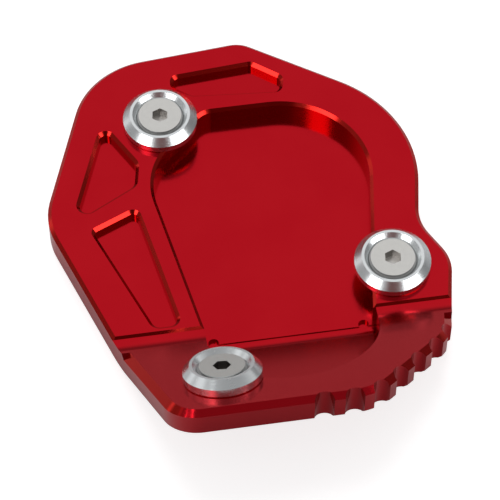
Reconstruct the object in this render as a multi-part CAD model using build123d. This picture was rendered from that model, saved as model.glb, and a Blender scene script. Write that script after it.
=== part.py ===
# Foot enlarger for a motorcycle side stand: a machined aluminium plate with a folded toe lip,
# three turned clamp washers and three countersunk hex-socket screws.
# Millimetres. X runs along the fold, Y from the lip at the front to the rear, Z up from the ground.
import os
from math import cos, radians, sin, tan

from build123d import *

# Plate. Each outline is a list of corners: x, y from the fold, corner radius
thickness = 9.5
edge_bevel = 1.0
sole_bevel = 1.0
outline_corners = [
    (-26.7, -34.97, 9.5), (23.2, -34.97, 16.0), (46.4, -13.7, 16.0),
    (51.8, 12.3, 12.0), (45.3, 24.9, 12.0), (52.1, 61.2, 36.0),
    (7.4, 91.9, 8.0), (-35.3, 88.1, 23.2), (-52.5, 39.4, 20.0),
]

# Pocket for the foot of the stand, open to the lip
pocket_depth = 5.3
pocket_bevel = 0.85
pocket_corners = [
    (-14.3, -10.0, 1.0), (27.9, -10.0, 1.0), (40.5, 69.6, 24.5),
    (-6.3, 69.6, 6.0), (-25.0, 52.0, 21.0),
]

# Shallow pockets that save weight
relief_depth = 2.6
relief_bevel = 0.9
relief_corners = [
    [(-13.4, 82.6, 2.5), (-13.8, 78.4, 2.5), (-8.5, 74.5, 4.0),
     (16.3, 72.4, 2.5), (17.6, 78.0, 2.5), (9.4, 84.4, 2.5)],
    [(-33.7, 70.0, 2.6), (-46.0, 36.2, 3.0), (-26.6, 46.8, 3.5), (-25.2, 54.4, 4.0)],
    [(-41.0, 34.4, 2.0), (-28.2, 1.3, 3.2), (-20.3, 1.3, 2.8), (-27.3, 40.4, 2.4)],
]

# Toe lip, rising from a rounded valley in front of the fold
lip_angle = 28.6
lip_bevel = 2.05
lip_bevel_start = 1.0
fold_bevel = 0.65
valley_ledge = 0.5
valley_radius = 7.9
under_angle = 27.4
under_corner = -3.75
under_radius = 18.0

# Round toe recess in the lip: the pocket floor steps down and bends up in front of the fold.
# Places on the lip: x, distance forward from the valley
toe_fold = 2.3
toe_step = 0.25
toe_ledge = 0.3
toe_valley_radius = 5.0
toe_radius = 24.1
toe_center = (5.24, 1.35)
toe_turn = 113.4
toe_left = (-15.2, 4.8)

# Relief holes at the front corners of the pocket floor
corner_hole = 2.8
corner_hole_depth = 1.1
corner_hole_places = [(-13.1, -1.9), (26.0, -1.8)]

# Scallops along the front right edge, measured along it from the front left corner
scallop_radius = 2.45
scallop_first = 36.55
scallop_pitch = 7.58
scallop_count = 7

# Clamp washers
washer_diameter = 20.0
washer_side = 2.15
washer_height = 4.1
crest_diameter = 16.3
washer_foot_bevel = 0.3
crest_width = 0.75
dish_depth = 1.3
washer_hole = 6.6
rear_place = (-18.0, 66.8)
right_place = (35.8, 12.0)
front_place = (-13.3, 21.2)

# M6 countersunk screws
screw_diameter = 6.0
screw_length = 10.0
screw_end_bevel = 0.6
head_diameter = 11.5
head_land = 0.3
head_below_crest = 0.6
head_gap = 0.35
socket_across_flats = 4.0
socket_depth = 2.5
thread_clearance = 0.1
socket_turn = 82.0
front_socket_turn = -8.0

far = 120.0


def rounded(corners):
    spots = [Vector(x, y) for x, y, _ in corners]
    arcs = []
    for i, (_, _, radius) in enumerate(corners):
        here = spots[i]
        back = (spots[i - 1] - here).normalized()
        ahead = (spots[(i + 1) % len(spots)] - here).normalized()
        half = radians(back.get_angle(ahead) / 2)
        reach = radius / tan(half)
        middle = here + (back + ahead).normalized() * (radius / sin(half) - radius)
        arcs.append(ThreePointArc(here + back * reach, middle, here + ahead * reach))
    sides = [Line(arc @ 1, after @ 0) for arc, after in zip(arcs, arcs[1:] + arcs[:1])]
    face = make_face(arcs + sides).face()
    return face if face.normal_at().Z > 0 else -face


def sunk(corners, depth, bevel):
    mouth = rounded(corners)
    flare = extrude(mouth, -bevel, taper=45)
    return Pos(0, 0, thickness) * (flare + extrude(offset(mouth, -bevel), -depth))


def across(edges):
    return extrude(Plane.YZ * make_face(edges), far, both=True)


def top_edges(solid, up, wanted):
    top = solid.faces().sort_by(lambda face: face.normal_at().dot(up))[-1]
    return [edge for edge in top.edges() if wanted(edge.center().Y)]


def turned(profile):
    return revolve(Plane.XZ * make_face(Polyline(*profile, close=True)), Axis.Z)


def valley(bend, radius):
    # From level ground up onto the slope of the lip: the arc, and the foot where the two would meet
    turn = radians(lip_angle / 2)
    reach = radius * tan(turn)
    foot = bend - Vector(reach, 0)
    middle = bend + Vector(-sin(turn), 1 - cos(turn)) * radius
    return ThreePointArc(bend, middle, foot + slope * reach), foot


rise, run = sin(radians(lip_angle)), cos(radians(lip_angle))
slope = Vector(-run, rise)
fold = Vector(0, thickness - fold_bevel)
ledge_end = fold - Vector(valley_ledge, 0)
bend, foot = valley(ledge_end, valley_radius)
lip = Plane(origin=(0, foot.X, foot.Y), x_dir=(1, 0, 0), z_dir=(0, rise, run))

# Blank: the plan outline above the folded underside, its lower edge bevelled
ahead = Vector(-cos(radians(under_angle)), sin(radians(under_angle)))
reach = under_radius * tan(radians(under_angle / 2))
corner = Vector(under_corner, 0)
bend_start, bend_end = corner + Vector(reach, 0), corner + ahead * reach
bend_middle = corner + (ahead + Vector(1, 0)).normalized() * (
    under_radius / cos(radians(under_angle / 2)) - under_radius)
under_end = corner + ahead * far
folded = across([
    ThreePointArc(bend_start, bend_middle, bend_end), Line(bend_end, under_end),
    Polyline(under_end, (-far, far), (far, far), (far, 0), bend_start),
])
blank = extrude(rounded(outline_corners), far) & folded
sole_faces = [face for face in blank.faces() if face.normal_at().Z < -0.5]
seams = (bend_start.X, bend_end.X)
blank = chamfer([
    edge for face in sole_faces for edge in face.edges()
    if abs(edge.tangent_at(0.5).X) < 0.9
    or min(abs(edge.center().Y - seam) for seam in seams) > 0.01
], sole_bevel)

# Flat body behind the fold, with the pocket and the reliefs
body = blank & across(Polyline((0, thickness), (far, thickness), (far, -far), (0, -far), close=True))
body = chamfer(top_edges(body, Vector(0, 0, 1), lambda y: abs(y) > 0.01), edge_bevel)
body = chamfer(top_edges(body, Vector(0, 0, 1), lambda y: abs(y) < 0.01), fold_bevel)
body -= sunk(pocket_corners, pocket_depth, pocket_bevel)
for corners in relief_corners:
    body -= sunk(corners, relief_depth, relief_bevel)

# Lip in front of it, bevelled from a little beyond the valley
bevel_start = bend @ 1 + slope * lip_bevel_start
bevel_floor = bevel_start - Vector(rise, run) * far
throat = blank & across([
    bend, Polyline(bend @ 1, bevel_start, bevel_floor, (0, -far), fold, ledge_end),
])
brim = blank & across(Polyline(
    bevel_start, bevel_start + slope * far, bevel_floor + slope * far, bevel_floor, close=True))
brim = chamfer(top_edges(brim, lip.z_dir, lambda y: abs(y - bevel_start.X) > 0.01), lip_bevel)

# Toe recess: the mouth drawn on the lip, cut down to the pocket floor and its valley
floor = thickness - pocket_depth
step_top = Vector(-toe_fold, floor)
step_foot = step_top - Vector(toe_step, toe_step)
toe_bend, _ = valley(step_foot - Vector(toe_ledge, 0), toe_valley_radius)
nose = CenterArc((toe_center[0], -toe_center[1]), toe_radius, -toe_turn, toe_turn)
left, right = (toe_left[0], -toe_left[1]), nose @ 1
mouth = make_face([
    nose, Line(left, nose @ 0), Polyline(left, (left[0], far), (right.X, far), right),
])
above_floor = across([
    Polyline((0, floor), step_top, step_foot, toe_bend @ 0), toe_bend,
    Polyline(toe_bend @ 1, toe_bend @ 1 + slope * far, (0, far), (0, floor)),
])
toe = throat + brim - (lip * extrude(mouth, far, both=True) & above_floor)

# One machined plate: scallops, corner relief holes, tapped holes
plate = body + toe
brow = FilletPolyline(
    [corner[:2] for corner in outline_corners[:4]], radius=[corner[2] for corner in outline_corners[1:3]])
for i in range(scallop_count):
    along = scallop_first + i * scallop_pitch
    spot = brow.position_at(along, position_mode=PositionMode.LENGTH)
    plate -= Pos(spot) * Cylinder(scallop_radius, far)
for spot in corner_hole_places:
    plate -= Pos(*spot, floor - corner_hole_depth) * Cylinder(
            corner_hole / 2, far, align=(Align.CENTER, Align.CENTER, Align.MIN))

seats = {
    "rear": Pos(*rear_place, thickness) * Rot(0, 0, socket_turn),
    "right": Pos(*right_place, thickness) * Rot(0, 0, socket_turn),
    "front": lip.location * Pos(front_place[0], -front_place[1], 0) * Rot(0, 0, front_socket_turn),
}
for seat in seats.values():
    plate -= seat * Cylinder(screw_diameter / 2 + thread_clearance, far)

# Washer and screw, drawn standing on their seat
head_top = washer_height - head_below_crest
cone_top = head_top - head_land
head_radius, shank_radius = head_diameter / 2, screw_diameter / 2
dish = washer_height - dish_depth
crest = crest_diameter / 2
washer = turned([
    (washer_hole / 2, 0), (washer_diameter / 2 - washer_foot_bevel, 0),
    (washer_diameter / 2, washer_foot_bevel), (washer_diameter / 2, washer_side),
    (crest, washer_height), (crest - crest_width, washer_height), (head_radius + head_gap, dish),
    (head_radius - cone_top + dish, dish),
    (washer_hole / 2, cone_top - head_radius + washer_hole / 2),
])
tip = head_top - screw_length
screw = turned([
    (0, tip), (shank_radius - screw_end_bevel, tip), (shank_radius, tip + screw_end_bevel),
    (shank_radius, cone_top - head_radius + shank_radius), (head_radius, cone_top),
    (head_radius, head_top), (0, head_top),
])
socket = extrude(RegularPolygon(socket_across_flats / 2, 6, major_radius=False), -socket_depth)
screw -= Pos(0, 0, head_top) * socket

# Centre the plate over the origin
box = plate.bounding_box()
home = Pos(-box.center().X, -box.center().Y, 0)
os.makedirs("parts", exist_ok=True)
export_step(home * plate, "parts/base_plate.step")
for name, seat in seats.items():
    export_step(home * seat * washer, f"parts/{name}_washer.step")
export_step(Compound([home * seat * screw for seat in seats.values()]), "parts/countersunk_screws.step")
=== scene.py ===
# Looks of a side-stand foot enlarger: red anodised plate, turned washers, stainless screws
from math import cos, pi, radians, sin

import bpy
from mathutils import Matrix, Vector


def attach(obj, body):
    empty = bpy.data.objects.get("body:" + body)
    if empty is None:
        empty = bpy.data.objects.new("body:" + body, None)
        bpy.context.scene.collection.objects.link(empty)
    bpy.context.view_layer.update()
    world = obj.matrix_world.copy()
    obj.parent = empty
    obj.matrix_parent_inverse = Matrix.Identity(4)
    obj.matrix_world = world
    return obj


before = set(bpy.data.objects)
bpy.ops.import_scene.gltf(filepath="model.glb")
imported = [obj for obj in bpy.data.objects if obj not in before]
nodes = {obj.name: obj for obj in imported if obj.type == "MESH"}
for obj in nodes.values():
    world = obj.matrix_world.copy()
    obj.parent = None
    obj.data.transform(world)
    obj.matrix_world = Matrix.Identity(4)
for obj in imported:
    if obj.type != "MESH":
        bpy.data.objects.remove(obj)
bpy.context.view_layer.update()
scene = bpy.context.scene
scene.view_settings.view_transform = "Standard"
mm = 0.001  # lengths are in millimetres where no note says metres

# Seats of the three washers: middle of the washer's foot, and the tilt of its axis towards the rear
seats = {
    "rear_washer": {"spot": (-17.938, 38.447, 9.5), "tilt": 0},
    "right_washer": {"spot": (35.862, -16.353, 9.5), "tilt": 0},
    "front_washer": {"spot": (-13.238, -49.48, 18.998), "tilt": 28.6},
}


class Wire:  # a node's socket; sums on it add Math nodes
    def __init__(self, tree, socket=None):
        self.tree, self.socket = tree, socket

    def make(self, kind, settings={}, sockets={}, out=0):
        node = self.tree.nodes.new(kind)
        for name, value in settings.items():
            setattr(node, name, value)
        for name, value in sockets.items():
            if isinstance(value, Wire):
                self.tree.links.new(value.socket, node.inputs[name])
            else:
                node.inputs[name].default_value = value
        return Wire(self.tree, node.outputs[out] if node.outputs else None)

    def maths(self, operation, *values):
        return self.make("ShaderNodeMath", {"operation": operation}, dict(enumerate(values)))

    def __add__(self, other):
        return self.maths("ADD", self, other)

    def __sub__(self, other):
        return self.maths("SUBTRACT", self, other)

    def __rsub__(self, other):
        return self.maths("SUBTRACT", other, self)

    def __mul__(self, other):
        return self.maths("MULTIPLY", self, other)

    def __pow__(self, other):
        return self.maths("POWER", self, other)

    __radd__, __rmul__ = __add__, __mul__

    def ramp(self, low, high, start=0.0, end=1.0):  # smooth step from start to end
        return self.make("ShaderNodeMapRange", {"interpolation_type": "SMOOTHSTEP"}, {
            "Value": self, "From Min": low, "From Max": high, "To Min": start, "To Max": end})

    def between(self, rise, fall):  # in over the first span, out over the second
        return self.ramp(*rise) * (1 - self.ramp(*fall))

    def within(self, least, most, soft):  # between two limits with soft edges
        return self.between((least - soft, least + soft), (most - soft, most + soft))

    def blend(self, other, share):  # towards another value, by a share
        return self + (other - self) * share

    def tint(self, low, high):  # colour between two, by this value
        return self.make("ShaderNodeMix", {"data_type": "RGBA"}, {0: self, 6: low, 7: high}, 2)

    def noise(self, scale, detail=2.0, rough=0.5):  # this vector into a noise value
        return self.make("ShaderNodeTexNoise", {"noise_dimensions": "3D"}, {
            "Vector": self, "Scale": scale, "Detail": detail, "Roughness": rough})

    def split(self):
        parts = self.make("ShaderNodeSeparateXYZ", {}, {0: self}).socket.node
        return [Wire(self.tree, part) for part in parts.outputs]


def scaled(lengths):  # millimetres to metres
    return [length * mm for length in lengths]


def newMaterial(name):
    material = bpy.data.materials.new(name)
    material.use_nodes = True
    tree = material.node_tree
    tree.nodes.clear()
    return material, Wire(tree)


def seated(start, seat):  # object coordinates about a seat, z along its axis
    place = start.make("ShaderNodeTexCoord", out="Object")
    return start.make("ShaderNodeMapping", {"vector_type": "TEXTURE"}, {
        "Vector": place, "Location": scaled(seat["spot"]),
        "Rotation": (-radians(seat["tilt"]), 0, 0)})


def metalSurface(start, colour, rough, height, strength, depth):
    bump = start.make("ShaderNodeBump", {}, {
        "Strength": strength, "Distance": depth * mm, "Height": height})
    surface = start.make("ShaderNodeBsdfPrincipled", {}, {
        "Base Color": colour, "Metallic": 1.0, "Roughness": rough, "Normal": bump})
    start.make("ShaderNodeOutputMaterial", {}, {"Surface": surface})


def dress(obj, material):
    obj.data.materials.clear()
    obj.data.materials.append(material)


# Red anodised plate: satin metal with a fine blasted grain, a painted highlight tint (more orange)
# on its bevels, and painted shade on the facets where the lip's bevel begins
plate = {
    "red": (0.55, 0.009, 0.017, 1),
    "deepRed": (0.53, 0.0075, 0.0155, 1),
    "cloudSpan": (0.3, 0.7),  # noise value, from deep red to red
    # painted highlight tint: the bevels get a more orange red, so that their bright highlights come
    # out orange
    "bevelHighlightRed": (0.6, 0.02, 0.014, 1),
    "bevelHighlightShare": 0.9,
    "bevelRise": (0.55, 0.66),  # upward part of the normal, where the bevels' colour comes in
    "bevelFall": (0.74, 0.82),  # and where it goes out
    "runOut": (0, -0.878, 0.479),  # facing of the facets where the lip's bevel begins
    "runOutSpan": (0.98, 0.995),
    # painted shade: the facets where the lip's bevel begins are dark, so that they show no
    # highlight
    "runOutShadeRed": (0.2, 0.003, 0.006, 1),
    "runOutRough": 0.5,
    "roughness": 0.16,
    "grainRough": 0.05,
    "cloudRough": 0.04,
    "clouds": (60.0, 3.0),  # noise scale and detail
    "grain": (9000.0, 3.0, 0.6),  # noise scale, detail and roughness
    "grainStrength": 0.25,
    "grainDepth": 0.004,
}


def plateFinish():
    material, start = newMaterial("redAnodised")
    place = start.make("ShaderNodeTexCoord", out="Object")
    normal = start.make("ShaderNodeNewGeometry", out="Normal")
    clouds = place.noise(*plate["clouds"])
    grain = place.noise(*plate["grain"])
    bevel = normal.split()[2].between(plate["bevelRise"], plate["bevelFall"])
    facing = start.make("ShaderNodeVectorMath", {"operation": "DOT_PRODUCT"}, {
        0: normal, 1: plate["runOut"]}, "Value")
    runOut = facing.ramp(*plate["runOutSpan"])
    colour = clouds.ramp(*plate["cloudSpan"]).tint(plate["deepRed"], plate["red"])
    # painted highlight tint on the bevels
    colour = (bevel * plate["bevelHighlightShare"]).tint(colour, plate["bevelHighlightRed"])
    # painted shade on the facets where the lip's bevel begins
    colour = runOut.tint(colour, plate["runOutShadeRed"])
    rough = plate["roughness"] + plate["grainRough"] * (grain - 0.5)
    rough = rough + plate["cloudRough"] * (clouds - 0.5) + plate["runOutRough"] * runOut
    metalSurface(start, colour, rough, grain, plate["grainStrength"], plate["grainDepth"])
    return material


# Turned washers: bright aluminium with fine rings left by the tool, and painted shade in the hollow
# round the screw head
washer = {
    "metal": (0.9, 0.93, 0.94, 1),
    "dull": (0.82, 0.85, 0.87, 1),
    "colourShares": (0.6, 0.4),  # of the waves and the grain
    # painted shade: a darker grey in the hollow round the screw head
    "grooveShade": (0.62, 0.62, 0.62, 1),
    "grooveEdge": (6.05, 6.2),  # radius
    "grooveTop": (2.85, 3.0),  # height above the seat
    "grooveRough": 0.25,
    "roughness": 0.26,
    "waveRough": 0.05,
    "ringRough": 0.008,
    "waves": (400.0, 2.0),  # noise scale and detail
    "grain": (5000.0, 2.0),
    "pitch": 0.13,
    "rise": 0.7,  # height counted as radius, for rings on the sides too
    "wander": 2.0,  # radians that the waves move a ring
    "ringStrength": 1.0,
    "ringDepth": 0.002,
    "depthShares": (0.5, 0.15),  # of the rings and the grain
}


def washerFinish(name):
    material, start = newMaterial("turnedAluminium_" + name)
    centred = seated(start, seats[name])
    x, y, z = centred.split()
    radius = (x * x + y * y) ** 0.5
    waves = centred.noise(*washer["waves"])
    grain = centred.noise(*washer["grain"])
    turns = (radius + z * washer["rise"]) * (2 * pi / (washer["pitch"] * mm))
    turns = turns + washer["wander"] * waves
    rings = turns.maths("SINE", turns)
    # painted shade in the hollow round the screw head, which is also made rougher
    grooveShade = 1 - radius.ramp(*scaled(washer["grooveEdge"]))
    grooveShade = grooveShade * (1 - z.ramp(*scaled(washer["grooveTop"])))
    waveShare, grainShare = washer["colourShares"]
    colour = (waves * waveShare + grain * grainShare).tint(washer["dull"], washer["metal"])
    colour = grooveShade.tint(colour, washer["grooveShade"])
    rough = washer["roughness"] + washer["waveRough"] * (waves - 0.5)
    rough = rough + washer["ringRough"] * rings + washer["grooveRough"] * grooveShade
    ringShare, grainShare = washer["depthShares"]
    height = rings * ringShare + grainShare * grain
    metalSurface(start, colour, rough, height, washer["ringStrength"], washer["ringDepth"])
    return material


# Stainless screws: satin heads with faint turning rings, with painted shade in the hex sockets and
# on the heads' flanks down in the washers
screw = {
    "steel": (0.77, 0.76, 0.73, 1),
    "dark": (0.67, 0.66, 0.64, 1),
    "colourShares": (0.7, 0.3),  # of the clouds and the grain
    # painted shade in the hex sockets: walls darker than floors, and the lip screw's socket darker
    # still
    "litSocketFloor": (0.74, 0.72, 0.7, 1),
    "shadedSocketWall": (0.4, 0.38, 0.36, 1),
    "floorSpan": (0.5, 0.8),  # upward part of the normal, from shaded wall to lit floor
    "lipSocketShade": (0.3, 0.28, 0.27, 1),
    "lipHeight": (15, 17),  # parts the screw on the lip, whose socket gets a deeper painted shade, from the other two
    "headTop": (3.4, 3.48),  # height above the seat
    "socketEdge": (2.4, 2.5),  # radius
    "socketRough": 0.15,
    # painted shade: a darker grey on the head's flank down in the washer
    "flank": (0.68, 0.68, 0.67, 1),
    "flankInner": (4.6, 5.0),  # radius
    "flankOuter": (6.0, 6.2),
    "roughness": 0.18,
    "grainRough": 0.1,
    "clouds": (700.0, 3.0),  # noise scale and detail
    "grain": (6000.0, 3.0, 0.7),  # noise scale, detail and roughness
    "pitch": 0.3,
    "wander": 1.5,  # radians that the clouds move a ring
    "ringShare": 0.3,  # height of the rings next to the grain
    "grainStrength": 0.5,
    "grainDepth": 0.004,
}


def screwFinish():
    material, start = newMaterial("satinStainless")
    place = start.make("ShaderNodeTexCoord", out="Object")
    level = start.make("ShaderNodeNewGeometry", out="Normal").split()[2]
    radius, socket, flank = 1.0, 0.0, 0.0
    for seat in seats.values():
        x, y, z = seated(start, seat).split()
        out = (x * x + y * y) ** 0.5
        under = 1 - z.ramp(*scaled(screw["headTop"]))
        radius = out.maths("MINIMUM", radius, out)
        socket = under * (1 - out.ramp(*scaled(screw["socketEdge"]))) + socket
        side = out.between(scaled(screw["flankInner"]), scaled(screw["flankOuter"]))
        flank = under * side + flank
    clouds = place.noise(*screw["clouds"])
    grain = place.noise(*screw["grain"])
    turns = radius * (2 * pi / (screw["pitch"] * mm)) + screw["wander"] * clouds
    rings = turns.maths("SINE", turns)
    cloudShare, grainShare = screw["colourShares"]
    colour = (cloudShare * clouds + grainShare * grain).tint(screw["dark"], screw["steel"])
    # painted shade in the sockets: shaded walls, lit floors, darkest in the screw on the lip
    socketShade = level.ramp(*screw["floorSpan"]).tint(screw["shadedSocketWall"], screw["litSocketFloor"])
    onLipShade = place.split()[2].ramp(*scaled(screw["lipHeight"]))
    socketShade = onLipShade.tint(socketShade, screw["lipSocketShade"])
    colour = socket.tint(colour, socketShade)
    # painted shade on the heads' flanks down in the washers
    colour = flank.tint(colour, screw["flank"])
    rough = screw["roughness"] + screw["grainRough"] * (grain - 0.5) + screw["socketRough"] * socket
    height = grain + screw["ringShare"] * rings
    metalSurface(start, colour, rough, height, screw["grainStrength"], screw["grainDepth"])
    return material


dress(nodes["base_plate"], plateFinish())
for name in seats:
    dress(nodes[name], washerFinish(name))
dress(nodes["countersunk_screws"], screwFinish())
print("finishes on", len(nodes), "CAD nodes")


# Threads in the free ends of the tapped holes, seen from below
thread = {
    "pitch": 1.0,
    "depth": 0.45,
    "wall": 3.1,
    "turns": 2.1,
    "steps": 48,  # points in a turn
    "flank": 0.45,  # half the ridge's width, in pitches
    "ends": {"rear_washer": -8.8, "right_washer": -8.8, "front_washer": -8.3},  # along the axis
}


def threadTree(material):
    tree = bpy.data.node_groups.new("tappedThread", "GeometryNodeTree")
    tree.interface.new_socket("Threads", in_out="OUTPUT", socket_type="NodeSocketGeometry")
    tree.interface.new_socket("Ends", in_out="INPUT", socket_type="NodeSocketGeometry")
    keys = {}
    for name in ("Pitch", "Depth", "Wall", "Turns"):
        size = tree.interface.new_socket(name, in_out="INPUT", socket_type="NodeSocketFloat")
        keys[name] = size.identifier
    start = Wire(tree)
    given = start.make("NodeGroupInput").socket.node.outputs
    ends, pitch, depth, wall, turns = (Wire(tree, given[name]) for name in ("Ends", *keys))
    coil = start.make("GeometryNodeCurveSpiral", {}, {
        "Resolution": thread["steps"], "Rotations": turns, "Start Radius": wall, "End Radius": wall,
        "Height": turns * pitch, "Reverse": True})  # right-hand thread
    coil = start.make("GeometryNodeSetCurveNormal", {"mode": "Z_UP"}, {"Curve": coil})
    half = pitch * thread["flank"]
    ridge = start.make("GeometryNodeCurvePrimitiveQuadrilateral", {"mode": "KITE"}, {
        "Width": depth * 2, "Bottom Height": half, "Top Height": half})
    coil = start.make("GeometryNodeCurveToMesh", {}, {
        "Curve": coil, "Profile Curve": ridge, "Fill Caps": True})
    coil = start.make("GeometryNodeSetShadeSmooth", {}, {"Geometry": coil, "Shade Smooth": False})
    turn = start.make("GeometryNodeInputNamedAttribute", {"data_type": "FLOAT_VECTOR"}, {
        "Name": "turn"})
    turn = start.make("FunctionNodeEulerToRotation", {}, {"Euler": turn})
    coils = start.make("GeometryNodeInstanceOnPoints", {}, {
        "Points": ends, "Instance": coil, "Rotation": turn})
    coils = start.make("GeometryNodeRealizeInstances", {}, {"Geometry": coils})
    coils = start.make("GeometryNodeSetMaterial", {}, {"Geometry": coils, "Material": material})
    start.make("NodeGroupOutput", {}, {"Threads": coils})
    return tree, keys


def makeThreads():
    spots, tilts = [], []
    for name, low in thread["ends"].items():
        tilt = -radians(seats[name]["tilt"])
        axis = Vector((0, -sin(tilt), cos(tilt)))
        spots.append((Vector(seats[name]["spot"]) + axis * low) * mm)
        tilts.append(tilt)
    mesh = bpy.data.meshes.new("tappedThreads")
    mesh.from_pydata(spots, [], [])
    turns = mesh.attributes.new("turn", "FLOAT_VECTOR", "POINT")
    for point, tilt in zip(turns.data, tilts):
        point.vector = (tilt, 0, 0)
    obj = bpy.data.objects.new("tappedThreads", mesh)
    scene.collection.objects.link(obj)
    tree, keys = threadTree(nodes["base_plate"].data.materials[0])
    coils = obj.modifiers.new("threads", "NODES")
    coils.node_group = tree
    for name, scale in (("Pitch", mm), ("Depth", mm), ("Wall", mm), ("Turns", 1.0)):
        coils[keys[name]] = thread[name.lower()] * scale
    wound = obj.evaluated_get(bpy.context.evaluated_depsgraph_get())
    solid = bpy.data.meshes.new_from_object(wound)
    obj.modifiers.clear()
    obj.data = solid
    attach(obj, "root")
    print("threads", len(solid.polygons), "faces")


makeThreads()


# Floor: pale and plain, white to the camera with the part's own soft shadow
floorLook = {
    "size": 6.0,  # metres
    "drop": 0.2,  # below the sole
    "pale": (0.53, 0.53, 0.535, 1),
    "cameraGlow": 0.8,
    "nearGlow": 0.1,  # in the metal, fading out over nearSpan
    "nearSpan": (0.08, 0.2),  # metres
    "clearGap": 1.5,  # shorter mirrored rays pass, so that the sole isn't black from below
}


def makeFloor():
    half, low = floorLook["size"] / 2, -floorLook["drop"] * mm
    mesh = bpy.data.meshes.new("floor")
    corners = [(-half, -half, low), (half, -half, low), (half, half, low), (-half, half, low)]
    mesh.from_pydata(corners, [], [(0, 1, 2, 3)])
    obj = bpy.data.objects.new("floor", mesh)
    scene.collection.objects.link(obj)
    material, start = newMaterial("paleFloor")
    path = start.make("ShaderNodeLightPath").socket.node.outputs
    camera, glossy, through, reach = (Wire(start.tree, path[name]) for name in (
        "Is Camera Ray", "Is Glossy Ray", "Is Transmission Ray", "Ray Length"))
    paint = start.make("ShaderNodeBsdfDiffuse", {}, {"Color": floorLook["pale"]})
    place = start.make("ShaderNodeTexCoord", out="Object")
    away = start.make("ShaderNodeVectorMath", {"operation": "LENGTH"}, {0: place}, "Value")
    mirrored = away.ramp(*floorLook["nearSpan"], floorLook["nearGlow"], 0.0)
    glow = start.make("ShaderNodeEmission", {}, {
        "Color": floorLook["cameraGlow"] * (camera + through) + mirrored * glossy, "Strength": 1.0})
    top = start.make("ShaderNodeAddShader", {}, {0: paint, 1: glow})
    below = start.make("ShaderNodeNewGeometry", out="Backfacing")  # clear from underneath
    short = glossy * reach.maths("LESS_THAN", reach, floorLook["clearGap"] * mm)
    clear = start.make("ShaderNodeBsdfTransparent")
    surface = start.make("ShaderNodeMixShader", {}, {
        0: below.maths("MAXIMUM", below, short), 1: top, 2: clear})
    start.make("ShaderNodeOutputMaterial", {}, {"Surface": surface})
    dress(obj, material)


# Studio: soft boxes at the front, a pale room behind, a dark card round the camera
studio = {
    "aim": (0.062, -6.553, 9.5),
    "reach": 0.8,  # metres
    "boxes": [  # azimuth, elevation, width and height in metres, brightness
        (-56, 29, 0.42, 0.26, 3.6),
        (50, 27.5, 0.6, 0.27, 3.6),
        (-61, 54, 0.25, 0.21, 2.6),
    ],
    "wash": (180, 52, 1.3),  # azimuth, elevation, strength
    "washAngle": 40,
    "band": (0.24, 0.18),  # low down, at the left and at the right
    "bandSides": (-0.5, 0.7),  # sides, tops and feet are spans of x, y or z of a direction
    "leftGlow": 1.05,
    "leftGlowSide": (-0.85, -0.55),
    "leftGlowTop": (0.06, 0.13),
    "backGlow": 0.5,
    "backGlowSide": (0.75, 0.97),
    "backGlowTop": (0.1, 0.2),
    "ceiling": (0.29, 0.76),  # at the front and at the back
    "ceilingSides": (0.1, 0.45),
    "ceilingFoot": (0.2, 0.62),
    "zenith": 0.32,
    "zenithFoot": (0.94, 0.995),
    "below": 0.7,  # seen only from under the floor
    "belowTop": (-0.4, -0.1),
    "panels": [  # pale walls: limits in x, y and z, and how bright
        ((-1.1, -0.6), (0.05, 0.6), (0.42, 0.72), 0.8),
        ((-0.95, -0.7), (0.48, 0.7), (0.1, 0.3), 0.85),
        ((0.6, 1.1), (0.33, 0.7), (0.27, 0.5), 0.75),
        ((-0.5, 0.4), (-1.1, -0.8), (0.05, 0.3), 0.5),
    ],
    "panelEdge": 0.05,
    "screen": (0.1, 0.025, 0.023, 1),  # dark and upright behind the camera
    "screenSides": (-26, 18),  # degrees round from the front
    "screenEdge": 0.07,  # radians
    "screenFoot": (0.26, 0.36),
    "screenTop": (0.8, 0.88),
}


def towards(azimuth, elevation):
    a, e = radians(azimuth), radians(elevation)
    return Vector((sin(a) * cos(e), -cos(a) * cos(e), sin(e)))


def makeLights():
    aim = Vector(studio["aim"]) * mm
    for number, (azimuth, elevation, wide, tall, radiance) in enumerate(studio["boxes"]):
        lamp = bpy.data.lights.new(f"softBox{number}", "AREA")
        lamp.shape, lamp.size, lamp.size_y = "RECTANGLE", wide, tall
        lamp.energy = pi * wide * tall * radiance
        obj = bpy.data.objects.new(lamp.name, lamp)
        way = towards(azimuth, elevation)
        obj.location = aim + way * studio["reach"]
        obj.rotation_euler = way.to_track_quat("Z", "Y").to_euler()
        obj.visible_camera = obj.visible_diffuse = False  # cards for the metal to show
        scene.collection.objects.link(obj)
    azimuth, elevation, strength = studio["wash"]
    lamp = bpy.data.lights.new("floorWash", "SUN")
    lamp.energy, lamp.angle = strength, radians(studio["washAngle"])
    obj = bpy.data.objects.new(lamp.name, lamp)
    obj.rotation_euler = towards(azimuth, elevation).to_track_quat("Z", "Y").to_euler()
    obj.visible_glossy = False  # lights the floor, not the metal
    scene.collection.objects.link(obj)


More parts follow.
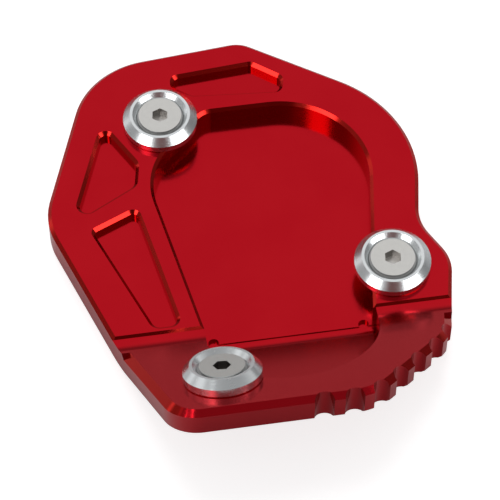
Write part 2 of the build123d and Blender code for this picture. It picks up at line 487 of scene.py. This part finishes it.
def makeWorld():
    world = bpy.data.worlds.new("paleRoom")
    world.use_nodes = True
    world.node_tree.nodes.clear()
    start = Wire(world.node_tree)
    x, y, z = start.make("ShaderNodeTexCoord", out="Generated").split()
    camera = start.make("ShaderNodeLightPath", out="Is Camera Ray")
    band = x.ramp(*studio["bandSides"], *studio["band"])
    glow = (1 - z.ramp(*studio["leftGlowTop"])) * (1 - x.ramp(*studio["leftGlowSide"]))
    band = band.blend(studio["leftGlow"], glow)
    glow = (1 - z.ramp(*studio["backGlowTop"])) * y.ramp(*studio["backGlowSide"])
    band = band.blend(studio["backGlow"], glow)
    ceiling = y.ramp(*studio["ceilingSides"], *studio["ceiling"])
    room = z.ramp(*studio["ceilingFoot"], band, ceiling)
    room = room.blend(studio["zenith"], z.ramp(*studio["zenithFoot"]))
    room = room.blend(studio["below"], 1 - z.ramp(*studio["belowTop"]))
    for *sides, shine in studio["panels"]:
        panel = 1.0
        for axis, (least, most) in zip((x, y, z), sides):
            panel = axis.within(least, most, studio["panelEdge"]) * panel
        room = room.blend(shine, panel)
    left, right = (radians(side) for side in studio["screenSides"])
    bearing = x.maths("ARCTAN2", x, 0 - y)
    screen = bearing.within(left, right, studio["screenEdge"])
    screen = screen * z.between(studio["screenFoot"], studio["screenTop"]) * (1 - camera)
    light = room.blend(1.0, camera).blend(1.0, screen)  # white to the camera
    back = start.make("ShaderNodeBackground", {}, {
        "Color": screen.tint((1, 1, 1, 1), studio["screen"]), "Strength": light})
    start.make("ShaderNodeOutputWorld", {}, {"Surface": back})
    scene.world = world


# Camera at the photograph's angle
view = {
    "azimuth": -8.5,
    "elevation": 55.7,
    "distance": 0.62,  # metres
    "lens": 171.0,
    "sensor": 36.0,
    "shift": (-0.001, 0.001),
    "nearest": 0.01,  # metres
}


def makeCamera():
    data = bpy.data.cameras.new("camera")
    data.sensor_width, data.lens = view["sensor"], view["lens"]
    data.shift_x, data.shift_y = view["shift"]
    data.clip_start = view["nearest"]
    obj = bpy.data.objects.new("camera", data)
    back = towards(view["azimuth"], view["elevation"])
    obj.location = Vector(studio["aim"]) * mm + back * view["distance"]
    obj.rotation_euler = back.to_track_quat("Z", "Y").to_euler()
    scene.collection.objects.link(obj)
    scene.camera = obj


makeFloor()
makeLights()
makeWorld()
makeCamera()
print("floor, studio and camera in place")
